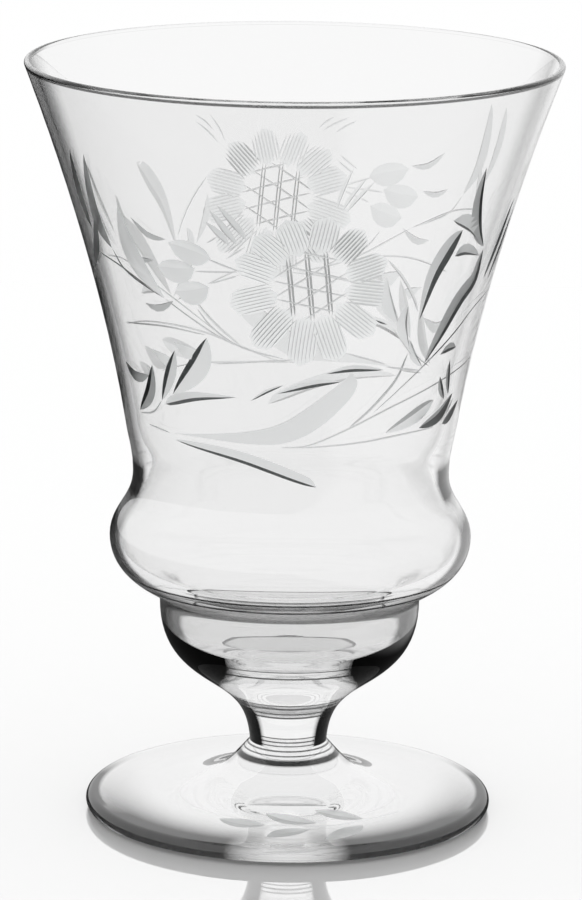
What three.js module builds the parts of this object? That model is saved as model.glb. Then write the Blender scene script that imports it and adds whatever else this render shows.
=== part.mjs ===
import * as THREE from 'three';

// Footed tumbler in clear soda-lime glass: a blown bowl, a short solid stem and a spun foot.
// Lengths are millimetres and leans are degrees from upright. The axis is Z and the foot rests on Z = 0.

// Foot
const FOOT_RADIUS = 34.8;
const FOOT_EDGE_THICKNESS = 3;
const FOOT_EDGE_ROUNDING = 1.4;
const FOOT_HEIGHT = 12;
const FOOT_SHOULDER_RADIUS = 12.2;
const FOOT_SHOULDER_HEIGHT = 6.6;
const FOOT_SHOULDER_LEAN = -62;
const FOOT_NECK_LEAN = -42;
const FOOT_EDGE_LEAN = -86;
const FOOT_EDGE_START = -40;
const FOOT_HOLLOW_LEAN = 94;
const FOOT_RESTING_RADIUS = 32.5;
const FOOT_RESTING_WIDTH = 4;
const FOOT_HOLLOW_DEPTH = 1.1;

// Stem
const STEM_LENGTH = 7.2;
const STEM_BOTTOM_RADIUS = 6.6;
const STEM_BOTTOM_LEAN = 4;
const STEM_TOP_RADIUS = 9.15;
const STEM_TOP_LEAN = 40;

// Bowl, outside, with heights above the seam where the bowl meets the stem
const BOWL_HEIGHT = 110.8;
const RIM_RADIUS = 45.2;
const RIM_LEAN = 20.5;
const FLARE_RADIUS = 28.25;
const FLARE_HEIGHT = 49.6;
const FLARE_LEAN = 9;
const WAIST_RADIUS = 26.85;
const WAIST_HEIGHT = 40.3;
const BULGE_RADIUS = 30.8;
const BULGE_HEIGHT = 29.2;
const STEP_RADIUS = 27.3;
const STEP_HEIGHT = 22.3;
const STEP_LEAN = 51;
const CUP_RADIUS = 22.2;
const CUP_HEIGHT = 17.7;

// Bowl, wall thickness from the lip down to the solid base
const RIM_WALL = 1.1;
const FLARE_WALL = 1.9;
const WAIST_WALL = 2.4;
const BULGE_WALL = 1.7;
const STEP_WALL = 2.1;
const CUP_WALL = 1.7;
const BASE_THICKNESS = 9.8;

// Each smooth stretch of a profile: its handles as shares of its chord, and its facets
const CURVES = {
  cup: { leaving: 0.33, arriving: 0.53, steps: 9 },
  step: { leaving: 0.3, arriving: 0.4, steps: 4 },
  belly: { leaving: 0.19, arriving: 0.5, steps: 4 },
  waist: { leaving: 0.36, arriving: 0.44, steps: 6 },
  throat: { leaving: 0.42, arriving: 0.45, steps: 3 },
  flare: { leaving: 0.16, arriving: 0.5, steps: 7 },
  floor: { leaving: 0.9, arriving: 0.36, steps: 10 },
  stem: { leaving: 0.35, arriving: 0.35, steps: 6 },
  neck: { leaving: 0.3, arriving: 0.35, steps: 5 },
  foot: { leaving: 0.3, arriving: 0.35, steps: 6 },
  hollow: { leaving: 0.3, arriving: 0.5, steps: 6 },
};

// Facets of the round edges and of a full turn
const SEGMENTS_ROUND = 60;
const LIP_STEPS = 4;
const EDGE_STEPS = 4;

// Angles in degrees: a wall that stands upright, one that lies level, and half a turn
const UPRIGHT = 0;
const LEVEL = 90;
const HALF_TURN = 180;

// Heights that follow from the sizes above
const stemBase = FOOT_HEIGHT;
const bowlBase = stemBase + STEM_LENGTH;
const rimTop = bowlBase + BOWL_HEIGHT;

// A station is a point of a profile with the lean of the wall there
function station(radius, height, lean) {
  const angle = THREE.MathUtils.degToRad(lean);
  return {
    point: new THREE.Vector2(radius, height),
    along: new THREE.Vector2(Math.sin(angle), Math.cos(angle)),
  };
}

// The matching station on the inside of the wall, square to the outside
function inside(outer, wall) {
  const inward = new THREE.Vector2(-outer.along.y, outer.along.x);
  return {
    point: outer.point.clone().addScaledVector(inward, wall),
    along: outer.along.clone(),
  };
}

// Points of the smooth curve between two stations, without its last point
function sweep(from, to, { leaving, arriving, steps }) {
  const chord = from.point.distanceTo(to.point);
  const curve = new THREE.CubicBezierCurve(
    from.point,
    from.point.clone().addScaledVector(from.along, leaving * chord),
    to.point.clone().addScaledVector(to.along, -arriving * chord),
    to.point,
  );
  return curve.getPoints(steps).slice(0, -1);
}

// Points of a round edge about a centre, between two angles in degrees, without its last point
function round(centre, radius, fromAngle, toAngle, steps) {
  const points = [];
  for (let step = 0; step < steps; step += 1) {
    const angle = THREE.MathUtils.degToRad(fromAngle + ((toAngle - fromAngle) * step) / steps);
    points.push(new THREE.Vector2(
      centre.x + radius * Math.cos(angle),
      centre.y + radius * Math.sin(angle),
    ));
  }
  return points;
}

// Glass as the photograph shows it: colourless and clear
function clearGlass(name, color) {
  return new THREE.MeshStandardMaterial({
    name,
    color,
    roughness: 0.04,
    metalness: 0,
    transparent: true,
    opacity: 0.4,
  });
}

// A piece of glass turned about the Z axis from a profile of radius and height
function turned(name, profile, material) {
  const geometry = new THREE.LatheGeometry(profile, SEGMENTS_ROUND);
  geometry.rotateX(Math.PI / 2);
  const mesh = new THREE.Mesh(geometry, material);
  mesh.name = name;
  return mesh;
}

// The foot: a shallow hollow underneath, a flat resting ring, a round edge and a domed top
function footProfile() {
  const hollowTop = station(0, FOOT_HOLLOW_DEPTH, LEVEL);
  const hollowEdge = station(FOOT_RESTING_RADIUS - FOOT_RESTING_WIDTH, 0, FOOT_HOLLOW_LEAN);
  const edgeCentre = new THREE.Vector2(
    FOOT_RADIUS - FOOT_EDGE_ROUNDING,
    FOOT_EDGE_THICKNESS - FOOT_EDGE_ROUNDING,
  );
  const shoulder = station(FOOT_SHOULDER_RADIUS, FOOT_SHOULDER_HEIGHT, FOOT_SHOULDER_LEAN);
  const neck = station(STEM_BOTTOM_RADIUS, stemBase, FOOT_NECK_LEAN);
  const edge = station(edgeCentre.x, FOOT_EDGE_THICKNESS, FOOT_EDGE_LEAN);
  return [
    ...sweep(hollowTop, hollowEdge, CURVES.hollow),
    hollowEdge.point,
    new THREE.Vector2(FOOT_RESTING_RADIUS, 0),
    ...round(edgeCentre, FOOT_EDGE_ROUNDING, FOOT_EDGE_START, LEVEL, EDGE_STEPS),
    ...sweep(edge, shoulder, CURVES.foot),
    ...sweep(shoulder, neck, CURVES.neck),
    neck.point,
    new THREE.Vector2(0, stemBase),
  ];
}

// The stem: solid glass, narrow at the foot and opening out to meet the bowl
function stemProfile() {
  const bottom = station(STEM_BOTTOM_RADIUS, stemBase, STEM_BOTTOM_LEAN);
  const top = station(STEM_TOP_RADIUS, bowlBase, STEM_TOP_LEAN);
  return [
    new THREE.Vector2(0, stemBase),
    ...sweep(bottom, top, CURVES.stem),
    top.point,
    new THREE.Vector2(0, bowlBase),
  ];
}

// The bowl: solid base, stepped-in cup, bulge, pinched waist and flared wall, up outside and down inside
function bowlProfile() {
  const seam = station(STEM_TOP_RADIUS, bowlBase, STEM_TOP_LEAN);
  const cup = station(CUP_RADIUS, bowlBase + CUP_HEIGHT, UPRIGHT);
  const step = station(STEP_RADIUS, bowlBase + STEP_HEIGHT, STEP_LEAN);
  const bulge = station(BULGE_RADIUS, bowlBase + BULGE_HEIGHT, UPRIGHT);
  const waist = station(WAIST_RADIUS, bowlBase + WAIST_HEIGHT, UPRIGHT);
  const flare = station(FLARE_RADIUS, bowlBase + FLARE_HEIGHT, FLARE_LEAN);
  const lipRadius = RIM_WALL / 2;
  const lip = station(RIM_RADIUS - lipRadius, rimTop - lipRadius, RIM_LEAN);
  const lipOut = inside(lip, -lipRadius);
  const lipIn = inside(lip, lipRadius);
  const cupIn = inside(cup, CUP_WALL);
  const stepIn = inside(step, STEP_WALL);
  const bulgeIn = inside(bulge, BULGE_WALL);
  const waistIn = inside(waist, WAIST_WALL);
  const flareIn = inside(flare, FLARE_WALL);
  const floor = station(0, bowlBase + BASE_THICKNESS, LEVEL);
  const outer = [
    ...sweep(seam, cup, CURVES.cup),
    ...sweep(cup, step, CURVES.step),
    ...sweep(step, bulge, CURVES.belly),
    ...sweep(bulge, waist, CURVES.waist),
    ...sweep(waist, flare, CURVES.throat),
    ...sweep(flare, lipOut, CURVES.flare),
  ];
  const inner = [
    ...sweep(floor, cupIn, CURVES.floor),
    ...sweep(cupIn, stepIn, CURVES.step),
    ...sweep(stepIn, bulgeIn, CURVES.belly),
    ...sweep(bulgeIn, waistIn, CURVES.waist),
    ...sweep(waistIn, flareIn, CURVES.throat),
    ...sweep(flareIn, lipIn, CURVES.flare),
    lipIn.point,
  ];
  return [
    new THREE.Vector2(0, bowlBase),
    ...outer,
    ...round(lip.point, lipRadius, -RIM_LEAN, HALF_TURN - RIM_LEAN, LIP_STEPS),
    ...inner.reverse(),
  ];
}

const tumbler = new THREE.Group();
tumbler.add(turned('foot', footProfile(), clearGlass('spun_foot_glass', 0xe6eae9)));
tumbler.add(turned('stem', stemProfile(), clearGlass('drawn_stem_glass', 0xe2e7e6)));
tumbler.add(turned('bowl', bowlProfile(), clearGlass('blown_bowl_glass', 0xeef1f0)));

export default tumbler;
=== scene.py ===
"""A footed tumbler in clear soda-lime glass, cut with daisies and leaves, on a pale studio floor.

The glass is made hot from three gathers: a blown bowl, a short drawn stem and a spun foot.
Lengths in the classes are millimetres, leans are degrees from upright, and meshes are in metres.
"""

from __future__ import annotations

import logging
import math
from dataclasses import dataclass, replace
from enum import Enum

import bpy
import numpy as np
from bpy.types import Material, Node, NodeSocket, NodeTree, Object
from mathutils import Matrix, Vector, kdtree
from mathutils.geometry import delaunay_2d_cdt

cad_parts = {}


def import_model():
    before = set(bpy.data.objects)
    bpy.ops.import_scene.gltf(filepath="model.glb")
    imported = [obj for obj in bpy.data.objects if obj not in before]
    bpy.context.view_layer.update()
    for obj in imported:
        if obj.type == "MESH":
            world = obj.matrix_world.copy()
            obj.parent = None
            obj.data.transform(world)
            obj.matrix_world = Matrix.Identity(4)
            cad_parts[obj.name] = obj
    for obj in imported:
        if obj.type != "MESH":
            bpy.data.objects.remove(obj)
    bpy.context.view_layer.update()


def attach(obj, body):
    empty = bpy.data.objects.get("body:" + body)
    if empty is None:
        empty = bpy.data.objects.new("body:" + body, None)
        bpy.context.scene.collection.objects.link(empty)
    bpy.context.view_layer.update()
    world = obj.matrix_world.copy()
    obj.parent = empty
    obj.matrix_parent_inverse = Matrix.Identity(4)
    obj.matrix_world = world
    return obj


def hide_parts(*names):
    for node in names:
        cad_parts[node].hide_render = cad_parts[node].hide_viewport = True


LOG = logging.getLogger("tumbler")
MM = 0.001
UPRIGHT = 0.0
LEVEL = 90.0
HALF_TURN = 180.0
FULL_TURN = 2 * math.pi
TURN_STEPS = 216
EDGE_STEPS = 10
SEAM_TURN = -90.0
SMOOTH_ANGLE = 32.0
BLACK = "#000000"
WHITE = "#ffffff"
CUT_NORMALS = "cut_normal"

# The material slots that a turned piece starts with.
SKIN_SLOT = 0
SEAM_SLOT = 1

# Points nearer than this are welded, in metres.
WELD = 2e-6

# Faces count as level, and as the skin of a wall, within these millimetres.
SAME_HEIGHT = 0.001
SKIN_DEPTH = 0.4
WALL_SLACK = 0.01
BULGE_SLACK = 1.01

# How finely walls and cuts are divided, and how their sums are kept clear of points that meet.
ROUGH_STEPS = 24
FEWEST_STEPS = 5
FEWEST_ROWS = 2
HALFWAY = 0.5
TRIANGLES = 0
CLEARANCE = 0.45
SAME_POINT = 1e-5
LEAST_REACH = 1e-6
LEAST_NORMAL = 1e-12

# Kinds of shader node with the setting that each is used with.
TIMES = ("Math", {"operation": "MULTIPLY"})
TIMES_PLUS = ("Math", {"operation": "MULTIPLY_ADD"})
MINUS = ("Math", {"operation": "SUBTRACT"})
POWER = ("Math", {"operation": "POWER"})
MOST = ("Math", {"operation": "MAXIMUM"})
ABSOLUTE = ("Math", {"operation": "ABSOLUTE"})
ABOVE = ("Math", {"operation": "GREATER_THAN"})
LENGTH = ("VectorMath", {"operation": "LENGTH"})
NORMALIZE = ("VectorMath", {"operation": "NORMALIZE"})
SMOOTH = ("MapRange", {"interpolation_type": "SMOOTHSTEP"})
Place = tuple[float, float]
Path = tuple[Place, ...]
Shades = tuple[tuple[float, str], ...]


class Slot(Enum):
    """The record's material slots, one for each piece of glass."""

    BOWL = "bowl_glass"
    STEM = "stem_glass"
    FOOT = "foot_glass"


class Finish(Enum):
    """How the wheel left a side of a cut, and the painted shade of its tint. Polished is the wall
    between the cuts.
    """

    POLISHED = "blown_bowl_glass"
    # The ground finishes are one ground glass. Its matte grey is its own, and the darker tints are
    # painted shade, down to painted near-black on the steep side.
    BROAD = "stone_ground_facet"
    GREY_SHADE = "slanting_ground_facet"
    FINE = "fine_ground_hatching"
    SHADED = "shaded_side_of_a_groove"
    SOFT = "soft_side_of_a_fine_groove"
    DEEP = "deep_double_groove"
    STEEP = "steep_wheel_cut_side"
    PETAL = "pale_ground_petal"


def linear(hex_colour: str) -> tuple[float, float, float, float]:
    """Turns an sRGB hex colour into the linear colour that the shaders use.

    Args:
        hex_colour: The colour as #rrggbb.

    Returns:
        Linear red, green, blue and an alpha of 1.
    """
    shares = [int(hex_colour[i : i + 2], 16) / 255 for i in (1, 3, 5)]
    parts = [c / 12.92 if c <= 0.04045 else ((c + 0.055) / 1.055) ** 2.4 for c in shares]
    return (*parts, 1.0)


def add_node(tree: NodeTree, kind: str | tuple[str, dict], *values: object, **named: object) -> Node:
    """Adds a shader node with its settings and links.

    Args:
        tree: The node tree that gets the node.
        kind: The node's type name without ShaderNode, or that name and the node's settings.
        values: The inputs in their order: values, or nodes or sockets to link from.
        named: More inputs by name, with _ for each space.

    Returns:
        The new node.
    """
    name, settings = (kind, {}) if isinstance(kind, str) else kind
    made = tree.nodes.new(f"ShaderNode{name}")
    for setting, value in settings.items():
        setattr(made, setting, value)
    inputs = {**dict(enumerate(values)), **{key.replace("_", " "): v for key, v in named.items()}}
    for key, value in inputs.items():
        source = value.outputs[0] if isinstance(value, Node) else value
        if isinstance(source, NodeSocket):
            tree.links.new(source, made.inputs[key])
        else:
            made.inputs[key].default_value = source
    return made


def blank_material(name: str) -> Material:
    """Makes a material with an empty node tree.

    Args:
        name: The material's name.

    Returns:
        The material, without any node.
    """
    material = bpy.data.materials.new(name)
    material.use_nodes = True
    material.node_tree.nodes.clear()
    return material


@dataclass(frozen=True)
class Sight:
    """The spot of the glass that a ray meets, and how the ray meets it.

    Facing runs from 0, where a surface faces the eye, to 1 at its outline: of the skin itself,
    and for the flank of an upright wall at the same turn. Outside is 1 for a ray that comes from
    the air, level is 1 where the skin lies level, and mirrored is 1 for a ray that was only ever
    reflected.
    """

    place: NodeSocket
    right: NodeSocket
    height: NodeSocket
    radius: NodeSocket
    flank: NodeSocket
    facing: NodeSocket
    outside: Node
    level: Node
    mirrored: Node

    @classmethod
    def build(cls, tree: NodeTree) -> Sight:
        """Adds the nodes.

        Args:
            tree: The material's node tree.

        Returns:
            The sight.
        """
        place = add_node(tree, "TexCoord").outputs["Object"]
        right, away, height = add_node(tree, "SeparateXYZ", place).outputs
        outward = add_node(tree, "CombineXYZ", right, away)
        radius = add_node(tree, LENGTH, outward).outputs["Value"]
        outward = add_node(tree, NORMALIZE, outward)
        flank = add_node(tree, "LayerWeight", Normal=outward).outputs["Facing"]
        facing = add_node(tree, "LayerWeight").outputs["Facing"]
        skin = add_node(tree, "NewGeometry").outputs
        outside = add_node(tree, MINUS, 1.0, skin["Backfacing"])
        normal = add_node(tree, "SeparateXYZ", skin["Normal"])
        level = add_node(tree, ABSOLUTE, normal.outputs["Z"])
        ray = add_node(tree, "LightPath").outputs
        direct = add_node(tree, MINUS, 1.0, ray["Is Transmission Ray"])
        mirrored = add_node(tree, TIMES, ray["Is Glossy Ray"], direct)
        return cls(place, right, height, radius, flank, facing, outside, level, mirrored)


@dataclass(frozen=True)
class DarkFlanks:
    """Where a solid mass of glass goes black on both flanks.

    Solid glass acts as a strong lens: its middle shows what lies straight behind, and its flanks
    bend the eye's way far off to the side, where nothing is lit. Here that black is painted shade,
    mixed into the glass's tint. Starts and slants are shares of facing, and heights are millimetres.
    """

    start_high: float = 0.13
    start_low: float = 0.58
    high: float = 30.0
    low: float = 22.0
    easing: float = 2.2
    softness: float = 0.05
    top_at_outline: float = 35.2
    top_inside: float = 31.4
    top_softness: float = 0.35
    slant_start: float = 0.04
    slant_end: float = 0.14

    def build(self, tree: NodeTree, sight: Sight, plain: Node) -> Node:
        """Adds the nodes.

        Args:
            tree: The material's node tree.
            sight: The spot that is seen.
            plain: The tint of the glass elsewhere.

        Returns:
            The tint with the dark flanks.
        """
        sunk = add_node(tree, "MapRange", sight.height, self.low * MM, self.high * MM, 1.0, 0.0)
        sunk = add_node(tree, POWER, sunk, self.easing)
        start = add_node(tree, "MapRange", sunk, 0.0, 1.0, self.start_high, self.start_low)
        past = add_node(tree, MINUS, sight.flank, start)
        dark = add_node(tree, SMOOTH, past, -self.softness, self.softness)
        top = add_node(tree, "MapRange", sight.flank, self.start_high, 1.0,
                       self.top_inside * MM, self.top_at_outline * MM)
        under = add_node(tree, MINUS, top, sight.height)
        under = add_node(tree, SMOOTH, under, 0.0, self.top_softness * MM)
        slant = add_node(tree, "MapRange", sight.facing, self.slant_start, self.slant_end)
        for factor in (under, slant, sight.outside):
            dark = add_node(tree, TIMES, dark, factor)
        # Painted shade: the flanks are mixed to black.
        return add_node(tree, "MixRGB", dark, plain, linear(BLACK))


@dataclass(frozen=True)
class FootShade:
    """Where the flat glass of the foot goes dark.

    All of it is painted shade, a near-black mixed into the foot's tint. The front of the foot is
    painted dark for the unlit table seen through its slanting top, to the left and the right of
    the light that comes down the stem. The rounded edge is painted black at both sides, and a
    painted dark ring lies where the neck swells out of the stem. Outside the neck, the foot is
    painted dark in every mirror, as a painted dark reflection. Radii, the edge's width and the
    ring's lengths are millimetres, and the rest are shares of facing.
    """

    inner_radius: float = 22.5
    outer_radius: float = 31.5
    level_facing: float = 0.74
    leaning_facing: float = 0.675
    neck_radius: float = 14.0
    from_above: float = 0.40
    from_beside: float = 0.55
    window_start: float = 0.015
    window_end: float = 0.10
    edge_radius: float = 31.4
    edge_width: float = 1.4
    edge_start: float = 0.35
    edge_end: float = 0.75
    ring_height: float = 9.9
    ring_half: float = 0.3
    ring_softness: float = 0.35
    # The near-black of the painted shade and of the painted dark reflections.
    colour: str = "#0a0a0a"

    def build(self, tree: NodeTree, sight: Sight, plain: Node) -> Node:
        """Adds the nodes.

        Args:
            tree: The material's node tree.
            sight: The spot that is seen.
            plain: The tint of the glass elsewhere.

        Returns:
            The tint with the dark zones.
        """
        rim = add_node(tree, SMOOTH, sight.radius, self.edge_radius * MM,
                       (self.edge_radius + self.edge_width) * MM)
        leaning = add_node(tree, SMOOTH, sight.facing, self.leaning_facing, self.level_facing, 1.0, 0.0)
        beside = add_node(tree, SMOOTH, sight.flank, self.window_start, self.window_end)
        low_view = add_node(tree, SMOOTH, sight.facing, self.from_above, self.from_beside)
        low_view = add_node(tree, MOST, low_view, rim)
        front = add_node(tree, SMOOTH, sight.radius, self.inner_radius * MM, self.outer_radius * MM)
        for factor in (leaning, beside, low_view):
            front = add_node(tree, TIMES, front, factor)
        sideways = add_node(tree, SMOOTH, sight.flank, self.edge_start, self.edge_end)
        edge = add_node(tree, TIMES, rim, sideways)
        off_ring = add_node(tree, MINUS, sight.height, self.ring_height * MM)
        off_ring = add_node(tree, ABSOLUTE, off_ring)
        ring = add_node(tree, SMOOTH, off_ring, self.ring_half * MM,
                        (self.ring_half + self.ring_softness) * MM, 1.0, 0.0)
        seen = add_node(tree, MINUS, 1.0, sight.mirrored)
        ring = add_node(tree, TIMES, ring, seen)
        off_neck = add_node(tree, ABOVE, sight.radius, self.neck_radius * MM)
        dark = add_node(tree, TIMES, sight.mirrored, off_neck)
        for zone in (front, edge, ring):
            dark = add_node(tree, MOST, dark, zone)
        dark = add_node(tree, TIMES, dark, sight.outside)
        # Painted shade and painted dark reflections are mixed into the tint.
        return add_node(tree, "MixRGB", dark, plain, linear(self.colour))


@dataclass(frozen=True)
class PaintedDarkBand:
    """A painted dark band round the glass at one height, as painted shade: thin where the wall turns
    sharply, broad on the flanks. It shows from a share of facing upward.
    """

    height: float
    half: float
    share: float
    from_facing: float = -1.0
    softness: float = 0.08

    def build(self, tree: NodeTree, sight: Sight, plain: Node) -> Node:
        """Adds the nodes.

        Args:
            tree: The material's node tree.
            sight: The spot that is seen.
            plain: The tint of the glass elsewhere.

        Returns:
            The tint with the ring.
        """
        off = add_node(tree, MINUS, sight.height, self.height * MM)
        off = add_node(tree, ABSOLUTE, off)
        line = add_node(tree, SMOOTH, off, self.half * MM / 2, self.half * MM, self.share, 0.0)
        beside = add_node(tree, SMOOTH, sight.facing, self.from_facing,
                          self.from_facing + self.softness)
        for factor in (sight.outside, beside):
            line = add_node(tree, TIMES, line, factor)
        # Painted shade: the band is mixed to black.
        return add_node(tree, "MixRGB", line, plain, linear(BLACK))


@dataclass(frozen=True)
class ClearGlass:
    """Soda-lime glass with a fire-polished skin.

    To the eye it is colourless and almost perfectly smooth. Two walls take a little light out of
    the white behind them, and the skin waves very slightly where it was turned hot. Where the wall
    is seen edge on, its tint is painted grey and then black, a painted shade for the long way
    through it that bends the light away from the background. On the side towards the lit end of
    the room the painted shades stay pale, as painted light. The zones are painted dark rings and
    flanks, laid over that tint in their order. Each shade has a share of facing.
    """

    name: str
    shades: Shades = (
        (0.28, "#f6f6f6"), (0.60, "#ececec"), (0.68, "#909090"), (0.76, "#343434"), (0.92, "#606060"))
    lit_shades: Shades = (
        (0.28, "#f6f6f6"), (0.60, "#f0f0f0"), (0.68, "#d0d0d0"), (0.76, "#a8a8a8"), (0.86, "#e6e6e6"))
    zones: tuple[PaintedDarkBand | DarkFlanks | FootShade, ...] = ()
    lit_from: float = -8.0
    lit_to: float = 8.0
    level_from: float = 0.72
    level_to: float = 0.95
    ior: float = 1.52
    wave_mm: float = 14.0
    wave_height_mm: float = 0.004

    def build(self) -> Material:
        """Makes the material.

        Returns:
            The glass, with its tint by the angle of the wall to the eye.
        """
        material = blank_material(self.name)
        tree = material.node_tree
        sight = Sight.build(tree)
        waves = add_node(tree, "TexNoise", sight.place, Scale=1 / (self.wave_mm * MM), Detail=1.0)
        skin = add_node(tree, "Bump", Distance=self.wave_height_mm * MM, Height=waves)
        upright = add_node(tree, SMOOTH, sight.level, self.level_from, self.level_to, 1.0, 0.0)
        edge_on = add_node(tree, TIMES, sight.facing, upright)
        # Painted shade: grey to black towards the outline, with paler painted shades on the lit side.
        tints = []
        for shades in (self.shades, self.lit_shades):
            ramp = add_node(tree, "ValToRGB", edge_on)
            stops = ramp.color_ramp.elements
            for number, (position, shade) in enumerate(shades):
                stop = stops[number] if number < len(stops) else stops.new(position)
                stop.position = position
                stop.color = linear(shade)
            tints.append(ramp)
        lit = add_node(tree, SMOOTH, sight.right, self.lit_from * MM, self.lit_to * MM)
        tint = add_node(tree, "MixRGB", lit, *tints)
        for zone in self.zones:
            tint = zone.build(tree, sight, tint)
        glass = add_node(tree, "BsdfPrincipled", tint, Roughness=0.0, IOR=self.ior,
                         Transmission_Weight=1.0, Normal=skin)
        add_node(tree, "OutputMaterial", glass)
        return material


@dataclass(frozen=True)
class GroundGlass:
    """Glass that a fine stone wheel has cut and that was left unpolished.

    The grit leaves a matte skin that scatters what is behind it, so a broad facet is a soft light
    grey. It is painted darker where it leans away from the eye, as painted shade, and painted
    paler where it is seen from within, as painted light.
    """

    finish: Finish
    tint: str
    leaning_tint: str
    from_within: str = "#e8eaea"
    within_share: float = 0.6
    leaning_start: float = 0.34
    leaning_end: float = 0.62
    roughness: float = 0.34
    ior: float = 1.52
    grit_mm: float = 0.25
    grit_height_mm: float = 0.006

    def build(self) -> Material:
        """Makes the material.

        Returns:
            The ground glass.
        """
        material = blank_material(self.finish.value)
        tree = material.node_tree
        place = add_node(tree, "TexCoord").outputs["Object"]
        grains = add_node(tree, "TexNoise", place, Scale=1 / (self.grit_mm * MM), Detail=1.0)
        skin = add_node(tree, "Bump", Distance=self.grit_height_mm * MM, Height=grains)
        facing = add_node(tree, "LayerWeight").outputs["Facing"]
        ramp = add_node(tree, "ValToRGB", facing)
        upright_stop, leaning_stop = ramp.color_ramp.elements
        upright_stop.position = self.leaning_start
        upright_stop.color = linear(self.tint)
        leaning_stop.position = self.leaning_end
        leaning_stop.color = linear(self.leaning_tint)
        # Painted light: seen from within, the tint is mixed towards the paler one.
        behind = add_node(tree, "NewGeometry").outputs["Backfacing"]
        within = add_node(tree, TIMES, behind, self.within_share)
        tint = add_node(tree, "MixRGB", within, ramp, linear(self.from_within))
        glass = add_node(tree, "BsdfPrincipled", tint, Roughness=self.roughness, IOR=self.ior,
                         Transmission_Weight=1.0, Normal=skin)
        add_node(tree, "OutputMaterial", glass)
        return material


@dataclass(frozen=True)
class FusedSeam:
    """The plane where two gathers of hot glass were joined.

    Nothing shows there, because the glass is one mass: light goes straight on through it.
    """

    name: str = "fused_hot_seam"

    def build(self) -> Material:
        """Makes the material.

        Returns:
            A see-through skin that bends no light.
        """
        material = blank_material(self.name)
        through = add_node(material.node_tree, "BsdfTransparent")
        add_node(material.node_tree, "OutputMaterial", through)
        return material


@dataclass(frozen=True)
class Station:
    """A point of a turned profile and the lean of the wall there."""

    radius: float
    height: float
    lean: float

    @property
    def point(self) -> Vector:
        """The point as radius and height."""
        return Vector((self.radius, self.height))

    @property
    def along(self) -> Vector:
        """The direction of the wall."""
        angle = math.radians(self.lean)
        return Vector((math.sin(angle), math.cos(angle)))

    def inside(self, wall: float) -> Station:
        """Finds the matching station on the inner side of the wall.

        Args:
            wall: The wall's thickness, square to the outside.

        Returns:
            The station on the inside.
        """
        point = self.point + Vector((-self.along.y, self.along.x)) * wall
        return Station(point.x, point.y, self.lean)


@dataclass(frozen=True)
class Curve:
    """A smooth stretch of a profile: its handles as shares of its chord, and its steps."""

    leaving: float
    arriving: float
    steps: int

    def points(self, start: Station, end: Station) -> list[Vector]:
        """Works out the points of the stretch.

        Args:
            start: The station that the stretch leaves.
            end: The station where it arrives.

        Returns:
            The points, without the last.
        """
        chord = (end.point - start.point).length
        handle_out = start.point + start.along * self.leaving * chord
        handle_in = end.point - end.along * self.arriving * chord
        made = []
        for step in range(self.steps):
            t = step / self.steps
            made.append(start.point * (1 - t) ** 3 + handle_out * 3 * t * (1 - t) ** 2
                        + handle_in * 3 * t * t * (1 - t) + end.point * t**3)
        return made


def round_edge(centre: Vector, radius: float, start: float, end: float) -> list[Vector]:
    """Works out the points of a round edge.

    Args:
        centre: The middle of the round, as radius and height.
        radius: The radius of the round.
        start: The angle where it starts, in degrees from level outward.
        end: The angle where it ends.

    Returns:
        The points, without the last.
    """
    made = []
    for step in range(EDGE_STEPS):
        angle = math.radians(start + (end - start) * step / EDGE_STEPS)
        made.append(centre + Vector((math.cos(angle), math.sin(angle))) * radius)
    return made


def make_active(piece: Object) -> None:
    """Selects one piece alone and makes it the active one.

    Args:
        piece: The piece.
    """
    bpy.ops.object.select_all(action="DESELECT")
    piece.select_set(True)
    bpy.context.view_layer.objects.active = piece


def turn_on_axis(name: str, profile: list[Vector]) -> Object:
    """Turns a profile about the Z axis into a closed piece of glass.

    Args:
        name: The piece's name.
        profile: Radius and height of each point, from the axis back to the axis.

    Returns:
        The piece, welded and with its faces pointing out.
    """
    bpy.ops.object.select_all(action="DESELECT")
    bpy.ops.mesh.primitive_plane_add(size=MM)
    piece = bpy.context.object
    piece.name = name
    piece.data.name = name
    bpy.ops.object.mode_set(mode="EDIT")
    bpy.ops.mesh.select_all(action="SELECT")
    bpy.ops.mesh.merge(type="CENTER")
    first = profile[0]
    bpy.ops.transform.translate(value=(first.x * MM, 0, first.y * MM))
    for before, after in zip(profile, profile[1:]):
        step = (after - before) * MM
        bpy.ops.mesh.extrude_region_move(TRANSFORM_OT_translate={"value": (step.x, 0, step.y)})
    bpy.ops.mesh.select_all(action="SELECT")
    bpy.ops.mesh.spin(steps=TURN_STEPS, angle=FULL_TURN, center=(0, 0, 0), axis=(0, 0, 1))
    bpy.ops.mesh.select_all(action="SELECT")
    bpy.ops.mesh.remove_doubles(threshold=WELD)
    bpy.ops.mesh.normals_make_consistent(inside=False)
    bpy.ops.mesh.select_all(action="DESELECT")
    bpy.ops.object.mode_set(mode="OBJECT")
    return piece


def dress(piece: Object, glass: Material, seam: Material, *seam_heights: float) -> None:
    """Gives a piece its glass, and its fused planes the seam.

    Args:
        piece: The piece of glass.
        glass: The material of its skin.
        seam: The material of the planes where it is fused to its neighbours.
        seam_heights: The heights of those planes.
    """
    piece.data.materials.append(glass)
    piece.data.materials.append(seam)
    for face in piece.data.polygons:
        heights = [piece.data.vertices[i].co.z / MM for i in face.vertices]
        level = max(heights) - min(heights) < SAME_HEIGHT
        if level and any(abs(heights[0] - z) < SAME_HEIGHT for z in seam_heights):
            face.material_index = SEAM_SLOT


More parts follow.
